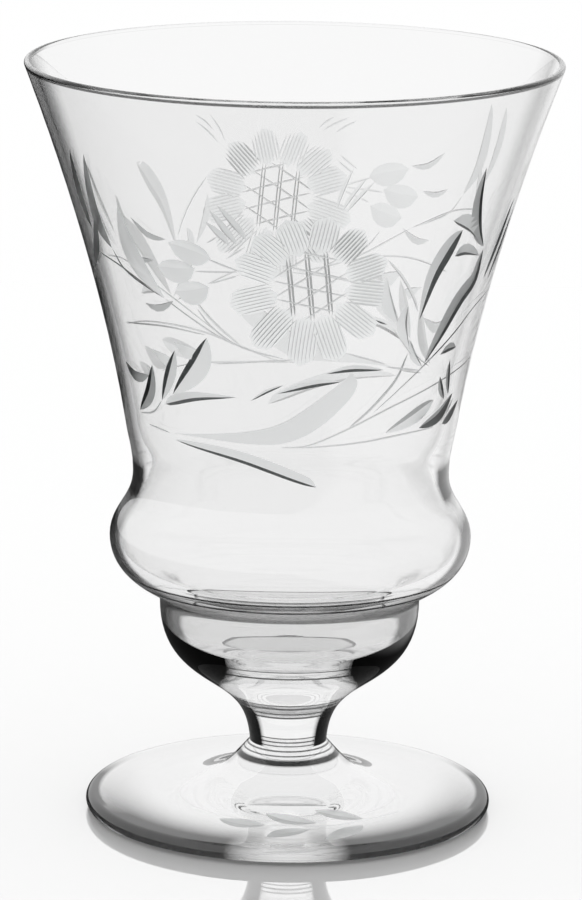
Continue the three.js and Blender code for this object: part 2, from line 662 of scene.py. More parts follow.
def settle(piece: Object, slot: Slot, node: str) -> None:
    """Shades a finished piece smooth and puts it in the place of its solid.

    Args:
        piece: The finished piece.
        slot: The record's slot, which is only named in the log.
        node: The solid that it stands for.
    """
    make_active(piece)
    bpy.ops.object.shade_smooth_by_angle(angle=math.radians(SMOOTH_ANGLE))
    keep_cut_normals(piece)
    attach(piece, "root")
    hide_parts(node)
    LOG.info("%s: %d faces, slot %s", piece.name, len(piece.data.polygons), slot.value)


class Section(Enum):
    """The shape of the wheel's edge, and so of the cut."""

    MITRE = "two flat sides that meet in a line"
    OLIVE = "a round hollow"

    def share(self, across: np.ndarray) -> np.ndarray:
        """Works out the depth, as a share of the deepest, at places across one side.

        Args:
            across: 0 at the deepest line and 1 at the edge.

        Returns:
            The share of the full depth.
        """
        return 1 - across if self is Section.MITRE else 1 - across**2


@dataclass(frozen=True)
class Cut:
    """One pass of the cutting wheel.

    The path is the deepest line, as turns about the axis in degrees and places up the wall in
    millimetres. Left and right are as the wheel travels, with the wall seen from outside.
    """

    path: Path
    left: float
    right: float
    depth: float = 0.2
    on_left: Finish = Finish.BROAD
    on_right: Finish = Finish.STEEP
    fullest: float = 0.5
    bluntness: float = 0.8
    section: Section = Section.MITRE

    def along(self, paths: tuple[Path, ...]) -> list[Cut]:
        """Makes the same cut along each of some paths."""
        return [replace(self, path=path) for path in paths]


def smooth_path(marks: np.ndarray, count: int) -> np.ndarray:
    """Draws a smooth line through a few marks.

    Args:
        marks: The marks, one in each row.
        count: How many points the line gets.

    Returns:
        The points of the line, evenly spread by their number.
    """
    if len(marks) == 2:
        t = np.linspace(0, 1, count)[:, None]
        return marks[0] * (1 - t) + marks[1] * t
    padded = np.vstack([2 * marks[0] - marks[1], marks, 2 * marks[-1] - marks[-2]])
    spans = len(marks) - 1
    at = np.linspace(0, spans, count)
    k = np.minimum(at.astype(int), spans - 1)
    t = (at - k)[:, None]
    a, b, c, d = (padded[k + i] for i in range(4))
    return 0.5 * (2 * b + (c - a) * t + (2 * a - 5 * b + 4 * c - d) * t**2
                  + (3 * b - a - 3 * c + d) * t**3)


class Wall:
    """The outside of a turned wall, which can be unrolled flat and cut.

    A place on it is a turn from the front in degrees and a way along the profile in millimetres.
    """

    def __init__(self, profile: list[Vector], by_radius: bool = False) -> None:
        """Takes the profile of the wall.

        Args:
            profile: Radius and height of each point, with the outside on the right of the way.
            by_radius: Whether places are given by their radius, and otherwise by their height.
        """
        self.points = np.array([tuple(p) for p in profile])
        steps = np.linalg.norm(np.diff(self.points, axis=0), axis=1)
        self.ways = np.concatenate([[0], np.cumsum(steps)])
        self.places = self.points[:, 0 if by_radius else 1]
        along = np.gradient(self.points, self.ways, axis=0)
        along /= np.linalg.norm(along, axis=1)[:, None]
        self.normals = np.column_stack([along[:, 1], -along[:, 0]])
        self.reference = float(self.points[:, 0].mean())

    @property
    def length(self) -> float:
        """The length of the profile."""
        return float(self.ways[-1])

    def way(self, place: np.ndarray) -> np.ndarray:
        """Finds the way along the profile for places given by height or radius."""
        order = self.places.argsort()
        return np.interp(place, self.places[order], self.ways[order])

    def radius(self, way: np.ndarray) -> np.ndarray:
        """Finds the radius of the wall at ways along the profile."""
        return np.interp(way, self.ways, self.points[:, 0])

    def solid(self, turns: np.ndarray, ways: np.ndarray) -> tuple[np.ndarray, np.ndarray]:
        """Rolls places on the flat wall up into space.

        Args:
            turns: Turns from the front in degrees.
            ways: Ways along the profile.

        Returns:
            The points in millimetres and the outward normals.
        """
        angle = np.radians(turns)
        side = np.column_stack([np.sin(angle), -np.cos(angle)])
        radius = self.radius(ways)
        height = np.interp(ways, self.ways, self.points[:, 1])
        out = np.interp(ways, self.ways, self.normals[:, 0])
        up = np.interp(ways, self.ways, self.normals[:, 1])
        points = np.column_stack([side * radius[:, None], height])
        normals = np.column_stack([side * out[:, None], up])
        return points, normals / np.linalg.norm(normals, axis=1)[:, None]

    def offset(self, place: Place, across: float, up: float) -> Place:
        """Moves a place by millimetres across and up the wall.

        Args:
            place: The turn, and the height or radius.
            across: How far to the right, seen from outside.
            up: How far along the profile.

        Returns:
            The new place, given in the same way.
        """
        way = float(self.way(place[1])) + up
        turn = place[0] + math.degrees(across / float(self.radius(way)))
        return (turn, float(np.interp(way, self.ways, self.places)))


class Groove:
    """A cut laid out on the flat wall: its deepest line, its two edges and its rows between."""

    def __init__(self, cut: Cut, wall: Wall, step_mm: float) -> None:
        """Lays the cut out.

        Args:
            cut: The cut.
            wall: The wall that it is made in.
            step_mm: About how far apart its points lie along it.
        """
        self.cut = cut
        marks = np.array(cut.path)
        marks = np.column_stack([marks[:, 0], wall.way(marks[:, 1])])
        rough = smooth_path(marks, ROUGH_STEPS)
        scale = math.radians(1) * wall.reference
        metric = np.column_stack([rough[:, 0] * scale, rough[:, 1]])
        length = np.linalg.norm(np.diff(metric, axis=0), axis=1).sum()
        count = max(FEWEST_STEPS, int(length / step_mm) + 1)
        line = smooth_path(marks, count)
        t = np.linspace(0, 1, count)
        # The power brings the fullest place of the cut to the middle of the sine.
        power = math.log(HALFWAY) / math.log(cut.fullest)
        self.fullness = np.sin(np.pi * t**power) ** cut.bluntness
        self.fullness[0] = self.fullness[-1] = 0
        self.depths = cut.depth * self.fullness
        stretch = wall.reference / wall.radius(line[:, 1])
        self.line = np.column_stack([line[:, 0] * scale, line[:, 1]])
        real = np.column_stack([self.line[:, 0] / stretch, self.line[:, 1]])
        along = np.gradient(real, axis=0)
        along /= np.linalg.norm(along, axis=1)[:, None]
        self.leftward = np.column_stack([-along[:, 1] * stretch, along[:, 0]])

    def width(self, side: int) -> float:
        """Finds the full width of one side, 1 for the left and -1 for the right."""
        return self.cut.left if side > 0 else self.cut.right

    def row(self, side: int, across: float) -> np.ndarray:
        """Finds the points of a row along the cut.

        Args:
            side: 1 for the left side and -1 for the right.
            across: 0 at the deepest line and 1 at the edge.

        Returns:
            The points on the flat wall, without the two tips.
        """
        shift = self.leftward * (side * self.width(side) * across * self.fullness)[:, None]
        return (self.line + shift)[1:-1]

    def depth(self, side: int, points: np.ndarray) -> np.ndarray:
        """Works out how deep one side of the cut is at some points.

        Args:
            side: 1 for the left side and -1 for the right.
            points: Points on the flat wall.

        Returns:
            The depth at each point in millimetres.
        """
        start, step = self.line[:-1], np.diff(self.line, axis=0)
        gap = points[:, None, :] - start[None]
        t = np.clip((gap * step).sum(2) / (step**2).sum(1), 0, 1)
        away = np.linalg.norm(gap - step * t[..., None], axis=2)
        nearest = away.argmin(1)
        rows = np.arange(len(points))
        t, away = t[rows, nearest], away[rows, nearest]
        reach = np.linalg.norm(self.leftward, axis=1) * self.fullness * self.width(side)
        reach = reach[nearest] * (1 - t) + reach[nearest + 1] * t
        deep = self.depths[nearest] * (1 - t) + self.depths[nearest + 1] * t
        across = np.clip(away / np.maximum(reach, LEAST_REACH), 0, 1)
        return deep * self.cut.section.share(across)


class Engraver:
    """Cuts ornament into the outside of a turned wall and makes its mesh.

    The wall is unrolled flat, the lines of all cuts are drawn on it, it is divided into triangles
    along them, and each point is sunk by the deepest cut there before the wall is rolled up again.
    """

    def __init__(self, wall: Wall, cuts: list[Cut], cut_step: float, plain_step: float = 2.4) -> None:
        """Takes the wall and its cuts.

        Args:
            wall: The wall.
            cuts: The cuts.
            cut_step: How far apart the points lie along a cut, in millimetres.
            plain_step: How far apart the points lie where nothing is cut.
        """
        self.wall = wall
        self.grooves = [Groove(cut, wall, cut_step) for cut in cuts]
        self.plain_step = plain_step
        self.rows = max(FEWEST_ROWS, int(wall.length / plain_step))
        self.left = math.radians(SEAM_TURN) * wall.reference
        self.around = FULL_TURN * wall.reference

    def border(self) -> np.ndarray:
        """Finds the points round the flat wall, which meet the rest of the piece.

        Returns:
            The points, all the way round.
        """
        turns = self.left + self.around * np.arange(TURN_STEPS + 1) / TURN_STEPS
        ways = self.wall.length * np.arange(1, self.rows) / self.rows
        return np.vstack([
            np.column_stack([turns, np.zeros(len(turns))]),
            np.column_stack([np.full(len(ways), turns[-1]), ways]),
            np.column_stack([turns[::-1], np.full(len(turns), self.wall.length)]),
            np.column_stack([np.full(len(ways), turns[0]), ways[::-1]]),
        ])

    def plain_points(self, taken: np.ndarray) -> np.ndarray:
        """Spreads points over the flat wall, clear of those that are taken.

        Args:
            taken: Points of the cuts and of the border.

        Returns:
            The new points.
        """
        tree = kdtree.KDTree(len(taken))
        for number, point in enumerate(taken):
            tree.insert((point[0], point[1], 0), number)
        tree.balance()
        columns = int(self.around / self.plain_step)
        made = []
        for row in range(1, self.rows):
            for column in range(columns):
                u = self.left + self.around * (column + HALFWAY * (1 + row % 2)) / columns
                v = self.wall.length * row / self.rows
                if tree.find((u, v, 0))[2] > CLEARANCE * self.plain_step:
                    made.append((u, v))
        return np.array(made)

    def divide(self) -> tuple[np.ndarray, list, list]:
        """Divides the flat wall into triangles along the lines of the cuts.

        Returns:
            The points, the triangles, and for each triangle the numbers of the sides it lies in.
        """
        points = []

        def take(new: np.ndarray) -> list[int]:
            """Takes points in and gives their numbers."""
            points.extend(new)
            return list(range(len(points) - len(new), len(points)))

        ring = take(self.border())
        edges = list(zip(ring, ring[1:] + ring[:1]))
        faces = []
        for groove in self.grooves:
            line = take(groove.line)
            for side in (1, -1):
                inner = () if groove.cut.section is Section.MITRE else (HALFWAY,)
                for across in (*inner, 1.0):
                    numbers = take(groove.row(side, across))
                    if across < 1:
                        chain = [line[0], *numbers, line[-1]]
                        edges.extend(zip(chain, chain[1:]))
                    elif side > 0:
                        faces.append([*line, *reversed(numbers)])
                    else:
                        faces.append([*reversed(line), *numbers])
        take(self.plain_points(np.array(points)))
        flat = [Vector(p) for p in points]
        made, _, triangles, _, _, owners = delaunay_2d_cdt(
            flat, edges, faces, TRIANGLES, SAME_POINT, True)
        return np.array([tuple(p) for p in made]), triangles, owners

    def side(self, number: int) -> tuple[Groove, int]:
        """Finds the cut of a side by its number, and 1 for its left side or -1 for its right."""
        return self.grooves[number // 2], -1 if number % 2 else 1

    def sink(self, flat: np.ndarray, triangles: list, owners: list) -> tuple[np.ndarray, np.ndarray]:
        """Works out the depth of each point and which side of which cut each triangle lies in.

        Args:
            flat: The points on the flat wall.
            triangles: The triangles.
            owners: For each triangle the sides that it lies in.

        Returns:
            The depth of each point, and the side of each triangle, or -1 where nothing is cut.
        """
        depths = np.zeros(len(flat))
        best = np.full(len(triangles), -1)
        deepest = np.zeros(len(triangles))
        held: dict[int, list[int]] = {}
        for number, sides in enumerate(owners):
            for side in sides:
                held.setdefault(side, []).append(number)
        corners = np.array(triangles)
        middles = flat[corners].mean(axis=1)
        for side, numbers in held.items():
            groove, sign = self.side(side)
            used = np.unique(corners[numbers])
            np.maximum.at(depths, used, groove.depth(sign, flat[used]))
            here = groove.depth(sign, middles[numbers])
            rows = np.array(numbers)
            wins = here > deepest[rows]
            best[rows[wins]] = side
            deepest[rows[wins]] = here[wins]
        return depths, best

    def build(self, name: str, materials: dict[Finish, Material]) -> Object:
        """Makes the mesh of the cut wall.

        Args:
            name: The name of the object.
            materials: The material of each finish.

        Returns:
            The wall, with its smooth normals kept in a corner attribute.
        """
        flat, triangles, owners = self.divide()
        depths, sides = self.sink(flat, triangles, owners)
        turns = np.degrees(flat[:, 0] / self.wall.reference)
        points, outward = self.wall.solid(turns, flat[:, 1])
        points -= outward * depths[:, None]
        mesh = bpy.data.meshes.new(name)
        mesh.from_pydata((points * MM).tolist(), [], triangles)
        order = list(materials)
        for finish in order:
            mesh.materials.append(materials[finish])
        finishes = [Finish.POLISHED if s < 0 else self.finish(s) for s in sides]
        mesh.polygons.foreach_set("material_index", [order.index(f) for f in finishes])
        normals = self.normals(points, outward, np.array(triangles), sides)
        kept = mesh.attributes.new(CUT_NORMALS, "FLOAT_VECTOR", "CORNER")
        kept.data.foreach_set("vector", normals.ravel())
        piece = bpy.data.objects.new(name, mesh)
        bpy.context.scene.collection.objects.link(piece)
        return piece

    def finish(self, side: int) -> Finish:
        """Finds the finish of a side of a cut by its number."""
        groove, sign = self.side(side)
        return groove.cut.on_left if sign > 0 else groove.cut.on_right

    def normals(self, points: np.ndarray, outward: np.ndarray, triangles: np.ndarray,
                sides: np.ndarray) -> np.ndarray:
        """Works out the normal of each corner, smooth within a side and crisp at its edges.

        Args:
            points: The finished points.
            outward: The normals of the uncut wall at the points.
            triangles: The triangles.
            sides: The side of each triangle.

        Returns:
            A normal for each corner of each triangle.
        """
        a, b, c = (points[triangles[:, i]] for i in range(3))
        flat = np.cross(b - a, c - a)
        keys = sides.astype(np.int64)[:, None] * len(points) + triangles
        found, where = np.unique(keys.ravel(), return_inverse=True)
        sums = np.zeros((len(found), 3))
        np.add.at(sums, where.ravel(), np.repeat(flat, 3, axis=0))
        smooth = sums[where.ravel()]
        plain = np.repeat(sides < 0, 3)
        smooth[plain] = outward[triangles.ravel()][plain]
        return smooth / np.maximum(np.linalg.norm(smooth, axis=1), LEAST_NORMAL)[:, None]


def inlay(piece: Object, patch: Object, wall: Wall) -> None:
    """Puts a cut wall in the place of the plain one.

    Args:
        piece: The turned piece.
        patch: The cut wall, which is joined to the piece.
        wall: The wall that the patch stands for.
    """
    radii, heights = np.sort(wall.points[[0, -1]], axis=0).T
    rising = wall.points[wall.points[:, 1].argsort()]
    for face in piece.data.polygons:
        middle = face.center / MM
        radius = math.hypot(middle.x, middle.y)
        inside = heights[0] - WALL_SLACK < middle.z < heights[1] + WALL_SLACK
        inside = inside and radii[0] - BULGE_SLACK < radius < radii[1] + BULGE_SLACK
        skin = np.interp(middle.z, rising[:, 1], rising[:, 0])
        face.select = bool(inside and abs(radius - skin) < SKIN_DEPTH)
    make_active(piece)
    bpy.ops.object.mode_set(mode="EDIT")
    bpy.ops.mesh.select_mode(type="FACE")
    bpy.ops.mesh.delete(type="FACE")
    bpy.ops.object.mode_set(mode="OBJECT")
    patch.select_set(True)
    bpy.ops.object.join()
    bpy.ops.object.mode_set(mode="EDIT")
    bpy.ops.mesh.select_mode(type="VERT")
    bpy.ops.mesh.select_all(action="SELECT")
    bpy.ops.mesh.remove_doubles(threshold=WELD)
    bpy.ops.mesh.select_all(action="DESELECT")
    bpy.ops.object.mode_set(mode="OBJECT")


def keep_cut_normals(piece: Object) -> None:
    """Sets the corner normals that an engraved piece carries, and drops the attribute.

    Args:
        piece: The piece, engraved or not.
    """
    kept = piece.data.attributes.get(CUT_NORMALS)
    if kept is None:
        return
    normals = np.zeros(3 * len(piece.data.loops))
    kept.data.foreach_get("vector", normals)
    piece.data.attributes.remove(kept)
    piece.data.normals_split_custom_set(normals.reshape(-1, 3).tolist())


BROAD, GREY_SHADE, FINE, SHADED = Finish.BROAD, Finish.GREY_SHADE, Finish.FINE, Finish.SHADED
SOFT, DEEP, STEEP, PETAL = Finish.SOFT, Finish.DEEP, Finish.STEEP, Finish.PETAL

# Cuts that are made along several paths.
THIN_LINE = Cut((), 0.17, 0.17, 0.1, FINE, SHADED, bluntness=0.3)
BUD = Cut((), 1.7, 2.6, 0.34, FINE, BROAD, bluntness=0.6, section=Section.OLIVE)
BLADE = Cut((), 1.15, 0.15, 0.2, BROAD, SHADED)
REAR_STROKE = Cut((), 0.2, 0.2, 0.1, FINE, SHADED)
REAR_BLADE = Cut((), 0.9, 0.15, 0.2, BROAD, SHADED)
SPRIG_LEAF = Cut((), 1.75, 1.75, 0.16, FINE, FINE)
SPRIG_STALK = Cut((), 0.18, 0.18, 0.1, FINE, SHADED, bluntness=0.3)


@dataclass(frozen=True)
class Daisy:
    """A cut daisy: petals of fine parallel grooves round a lattice of crossing ones.

    Angles are degrees from level on the right, as seen from outside.
    """

    centre: Place = (5.0, 98.5)
    radius: float = 13.5
    droop: float = 1.0
    heart_radius: float = 6.1
    petal_angles: tuple[float, ...] = (17, 49, 79, 111, 138, 162, 197, 232, 264, 289, 319, 350)
    petal_lines: int = 8
    petal_pitch: float = 0.6
    petal_rounding: float = 0.28
    lattice_pitch: float = 3.05
    lattice_angles: tuple[float, float, float] = (96.7, 35.0, -13.5)
    lattice_shifts: tuple[float, float, float] = (0.11, 0.5, -0.24)
    groove_width: float = 0.4
    lattice_width: float = 0.36
    double_gap: float = 0.26
    # Petals whose lines are painted in the darker shade.
    darker_petals: tuple[float, ...] = (49, 232)
    petal_depth: float = 0.13
    petal_crowding: float = 0.8
    blank_depth: float = 0.035
    blank_overlap: float = 0.6
    blank_reach: float = 0.2
    lattice_reach: int = 2
    lattice_depth: float = 0.16
    lattice_margin: float = 0.7
    lattice_overlap: float = 0.35

    def line(self, wall: Wall, angle: float, across: float, start: float, end: float) -> Path:
        """Lays a straight line on the wall.

        Args:
            wall: The wall.
            angle: The direction of the line.
            across: How far the line passes the centre on its left.
            start: Where it starts along its direction.
            end: Where it ends.

        Returns:
            The path of the line.
        """
        way = Vector((math.cos(math.radians(angle)), math.sin(math.radians(angle))))
        aside = Vector((-way.y, way.x)) * across
        ends = (way * start + aside, way * end + aside)
        return tuple(wall.offset(self.centre, e.x, e.y) for e in ends)

    def petals(self) -> list[tuple[float, float, float]]:
        """Finds where the petals lie.

        Returns:
            Each petal's angle and half the angle to its left and right neighbours.
        """
        angles = self.petal_angles
        after = [*angles[1:], angles[0] + 2 * HALF_TURN]
        before = [angles[-1] - 2 * HALF_TURN, *angles[:-1]]
        return [(a, (n - a) / 2, (a - b) / 2) for a, n, b in zip(angles, after, before)]

    def cuts(self, wall: Wall) -> list[Cut]:
        """Works out all grooves of the flower.

        Args:
            wall: The wall that it is cut in.

        Returns:
            The grooves.
        """
        made = []
        half = self.groove_width / 2
        for angle, left_gap, right_gap in self.petals():
            reach = self.radius - self.droop * math.sin(math.radians(angle))
            broad = self.petal_lines * self.petal_pitch / 2
            blank = self.line(wall, angle, 0.0, self.heart_radius - self.blank_overlap,
                              reach + self.blank_reach)
            made.append(Cut(blank, broad, broad, self.blank_depth, PETAL, PETAL, fullest=0.6,
                            bluntness=0.28))
            for number in range(self.petal_lines):
                across = (number - (self.petal_lines - 1) / 2) * self.petal_pitch
                gap = left_gap if across > 0 else right_gap
                start = self.petal_crowding * abs(across) / math.tan(math.radians(gap))
                start = max(self.heart_radius, start)
                path = self.line(wall, angle, across, start, reach - self.petal_rounding * across**2)
                dark = DEEP if angle in self.darker_petals else SHADED
                made.append(Cut(path, half, half, self.petal_depth, PETAL, dark, bluntness=0.35))
        half = self.lattice_width / 2
        upright = self.lattice_angles[0]
        for angle, shift in zip(self.lattice_angles, self.lattice_shifts):
            # The upright set of the lattice is painted in the darker shade.
            finish = DEEP if angle == upright else SOFT
            edges = (-self.double_gap, self.double_gap) if angle == upright else (0.0,)
            for number in range(-self.lattice_reach, self.lattice_reach + 1):
                middle = (number + shift) * self.lattice_pitch
                if abs(middle) > self.heart_radius - self.lattice_margin:
                    continue
                reach = math.sqrt(self.heart_radius**2 - middle**2) + self.lattice_overlap
                for edge in edges:
                    path = self.line(wall, angle, middle + edge, -reach, reach)
                    made.append(Cut(path, half, half, self.lattice_depth, finish, finish,
                                    bluntness=0.3))
        return made


@dataclass(frozen=True)
class Spray:
    """The cut spray: a daisy with buds and leaves on curved stalks, on one half of the wall.

    Thin lines, buds and blades are given by their paths. The front leaves and the blades are
    only cut on the front of the glass.
    """

    daisy: Daisy = Daisy()
    thin_lines: tuple[Path, ...] = (
        ((-64.5, 100), (-53, 98.5), (-38, 94.5)),
        ((-56, 101.5), (-51.5, 98), (-38, 94.5)),
        ((-58.5, 88.5), (-40, 89.5), (-25.5, 89)),
        ((-38, 94.5), (-23.5, 89.5), (-16, 87.5)),
        ((-27.5, 93.5), (-23.5, 90.5), (-15.5, 87.5), (-1.5, 85.5)),
        ((-24.5, 84), (-10, 85), (1, 85.5)),
        ((-23, 102.5), (-13.5, 100.5)),
        ((-27, 100), (-14, 100.5)),
        ((-23, 98), (-14, 100)),
        ((-18, 103.6), (-12.5, 106)),
        ((-17.5, 102.6), (-12, 105)),
        ((-60.5, 72.5), (-52, 73.5), (-46.5, 76)),
        ((-56, 71), (-44.5, 70.5)),
        ((27, 75.5), (41.5, 81.5), (57, 87.5), (66.5, 91), (80, 93)),
        ((1.5, 70), (22.5, 70.5), (38.5, 71), (56.5, 71)),
        ((-3.5, 70), (6, 70.5), (18.5, 73), (35.5, 76.5), (58, 79.5), (78.5, 81)),
        ((29.5, 90.5), (37, 86), (44, 82.5)),
        ((16, 86.5), (29.5, 84)),
        ((29.5, 83.5), (43, 82)),
    )
    stalks: tuple[Cut, ...] = (
        Cut(((18.5, 73), (26.5, 76.5), (34, 81), (37, 85.5)),
            0.27, 0.24, 0.14, BROAD, SHADED, bluntness=0.3),
        Cut(((25, 102.5), (30.5, 99), (35, 95.5), (38, 92.5)),
            0.35, 0.2, 0.14, BROAD, SHADED, bluntness=0.4),
        Cut(((24, 92), (28, 91)), 0.15, 0.22, 0.12, FINE, STEEP),
    )
    buds: tuple[Path, ...] = (
        ((-33.5, 104.5), (-27, 103.5), (-21.5, 102.5)),
        ((-38.5, 100), (-32.5, 100), (-26.5, 100.5)),
        ((-34, 96), (-28.5, 96.5), (-23, 97.5)),
    )
    leaves: tuple[Cut, ...] = (
        Cut(((-64, 117.5), (-65.5, 110), (-65, 104)), 0.3, 2.4, 0.34, STEEP, GREY_SHADE),
        Cut(((-57, 117.5), (-58.5, 107.5), (-56, 101.5)), 0.3, 2.8, 0.36, STEEP, GREY_SHADE),
        Cut(((-60, 107.5), (-64, 101), (-72, 96.5)), 0.3, 1.9, 0.3, STEEP, GREY_SHADE),
        Cut(((-44.5, 108), (-39.5, 105.7), (-34, 105)), 0.22, 0.95, 0.2, STEEP, GREY_SHADE),
        Cut(((-49, 102), (-44.5, 101), (-39.5, 101)), 0.25, 0.85, 0.2, STEEP, GREY_SHADE),
        Cut(((-46, 93), (-41, 93), (-35, 94.3)), 0.15, 1.15, 0.22, STEEP, GREY_SHADE),
        Cut(((-47.5, 85), (-39.5, 84)), 0.22, 1.9, 0.26, STEEP, BROAD, fullest=0.7),
        Cut(((-37.5, 87), (-29, 86)), 0.22, 2.4, 0.3, STEEP, BROAD, fullest=0.6),
        Cut(((-25.5, 88.5), (-31.5, 83.5), (-41, 77.5)), 3.0, 0.85, 0.42),
        Cut(((-37.5, 85.5), (-42, 81), (-46.5, 76)), 1.7, 0.62, 0.34),
        Cut(((-48.5, 82), (-53.5, 77), (-60.5, 73)), 1.9, 0.6, 0.34, GREY_SHADE, STEEP),
        Cut(((-65, 81), (-59, 79.7), (-51, 80)), 0.25, 1.7, 0.26, STEEP, GREY_SHADE),
        Cut(((-45, 75.5), (-32, 77.5), (-17.5, 78.5)), 1.3, 0.55, 0.3, fullest=0.3),
        Cut(((-44.5, 70.5), (-28, 71.5), (-14, 72.5), (-3.5, 74), (5.5, 77), (16, 81.5), (18.5, 83)),
            0.2, 3.9, 0.42, SHADED, BROAD, fullest=0.66),
        Cut(((-42.5, 69.5), (-18, 67.5), (3, 64), (9, 63)), 1.7, 0.4, 0.3, fullest=0.45),
        Cut(((34, 94), (34.5, 90.5), (37, 86.5)), 0.15, 1.8, 0.26, SHADED, BROAD),
        Cut(((36.5, 88), (40, 85), (44, 82.5)), 0.15, 1.1, 0.2, SHADED, BROAD),
        Cut(((25.5, 99.5), (28, 95.5), (31.5, 91)), 0.2, 1.9, 0.26, SHADED, BROAD, fullest=0.6),
        Cut(((48, 106), (45, 102.5), (41.5, 98), (39, 91)),
            1.05, 2.6, 0.44, STEEP, BROAD, fullest=0.42),
        Cut(((61, 101.5), (62, 96), (56.5, 92.5), (50.5, 87.5), (44.5, 83)),
            0.4, 3.2, 0.44, STEEP, GREY_SHADE, fullest=0.45),
        Cut(((74, 109), (72.5, 102), (67.5, 95.5)), 0.4, 1.7, 0.3, STEEP, GREY_SHADE),
        Cut(((79, 107), (77.5, 101), (72, 95)), 0.4, 1.5, 0.28, STEEP, GREY_SHADE),
        Cut(((51.5, 84), (56, 84.6), (60, 84.5)), 1.2, 0.45, 0.24, GREY_SHADE, STEEP),
        Cut(((53, 76), (44.5, 74), (32.5, 71.7)), 1.6, 1.3, 0.34, BROAD, GREY_SHADE, fullest=0.45),
        Cut(((65.5, 76), (58.5, 73), (47.5, 71.5)), 1.4, 1.2, 0.3, STEEP, GREY_SHADE),
        Cut(((73.5, 74), (67, 72), (61.5, 71)), 1.2, 1.0, 0.28, STEEP, GREY_SHADE),
    )
    blades: tuple[Path, ...] = (
        ((-22, 109), (-19, 106.5), (-16, 105)),
        ((-20.5, 111), (-17.5, 107.5), (-14, 105)),
        ((-18.5, 112), (-15, 108.5), (-11.5, 106)),
    )
    front_leaves: tuple[Cut, ...] = (
        Cut(((-13, 78), (-7.5, 79.8), (-2.5, 81)), 0.4, 0.25, 0.16),
        Cut(((-4.5, 79.5), (6.5, 81), (15.5, 81.5)), 0.8, 0.42, 0.24),
        Cut(((10.5, 83), (18.5, 83.5), (29, 83)), 0.8, 0.42, 0.24),
        Cut(((-48.5, 109.5), (-45, 102.5), (-38, 94.5)), 0.2, 3.9, 0.4, STEEP, BROAD),
        Cut(((50.5, 116.5), (52.5, 110.5), (56, 105.5), (60.5, 102)), 0.35, 2.4, 0.36, STEEP, GREY_SHADE),
        Cut(((43.5, 108), (52, 105.5), (59.5, 102)), 2.2, 0.4, 0.3, fullest=0.35),
        Cut(((47.5, 101.5), (52, 101.7), (59.5, 100.5)), 1.7, 0.4, 0.26, fullest=0.4),
        Cut(((54, 80), (59.5, 75.5)), 0.3, 1.1, 0.22, STEEP, GREY_SHADE),
        Cut(((58, 82.5), (62, 76)), 0.3, 1.1, 0.22, STEEP, GREY_SHADE),
    )

    def cuts(self, wall: Wall, turn: float, lift: float, full: bool) -> list[Cut]:
        """Works out all cuts of the spray where it is placed.

        Args:
            wall: The wall.
            turn: How far the spray is turned about the glass, in degrees.
            lift: How much higher it is cut, in millimetres.
            full: Whether it has what is only cut on the front too.

        Returns:
            The cuts.
        """
        plain = [*self.daisy.cuts(wall), *THIN_LINE.along(self.thin_lines), *self.stalks,
                 *BUD.along(self.buds), *self.leaves]
        if full:
            plain += [*BLADE.along(self.blades), *self.front_leaves]
        return [replace(c, path=tuple((t + turn, h + lift) for t, h in c.path)) for c in plain]


@dataclass(frozen=True)
class RearStrokes:
    """What only the rear wall has: short curved strokes near the lip and three blades."""

    strokes: tuple[Path, ...] = (
        ((206.3, 114.7), (203.8, 113.5), (201.6, 111.9)),
        ((206.5, 113.6), (203.3, 111.8), (200.6, 109.6)),
        ((202.2, 114.6), (200.1, 112.3), (198.6, 109.8)),
        ((173.6, 112), (171.6, 113.2), (169.4, 114.1)),
        ((172.8, 111.5), (169.3, 112.9), (165.5, 114.1)),
        ((169.4, 111.2), (166.4, 112.5), (163.4, 113.6)),
    )
    blades: tuple[Path, ...] = (
        ((163.1, 105.4), (165.2, 101.7), (167.1, 98.1)),
        ((159, 103.8), (162.2, 100.8), (165.3, 97.9)),
        ((156.4, 103.3), (160.3, 100.4), (164, 97.7)),
    )

    def cuts(self) -> list[Cut]:
        """Lays out the strokes and the blades."""
        return [*REAR_STROKE.along(self.strokes), *REAR_BLADE.along(self.blades)]


@dataclass(frozen=True)
class Sprig:
    """The small cut sprig on top of the foot, with places given by their radius."""

    leaves: tuple[Path, ...] = (
        ((-30, 23.0), (-19, 23.5), (-9, 23.5)),
        ((-11, 19.0), (1, 21.0), (13, 22.5)),
        ((15, 18.0), (26, 20.5), (34, 23.0)),
        ((-7, 29.0), (-1, 26.5), (9, 25.0)),
        ((12, 30.5), (21, 27.5), (30, 25.5)),
    )
    stalks: tuple[Path, ...] = (((-8, 23.5), (5, 23.5), (20, 24.0), (36, 23.5), (54, 24.0)),)

    def cuts(self) -> list[Cut]:
        """Lays out the five leaves and their stalk."""
        return [*SPRIG_LEAF.along(self.leaves), *SPRIG_STALK.along(self.stalks)]


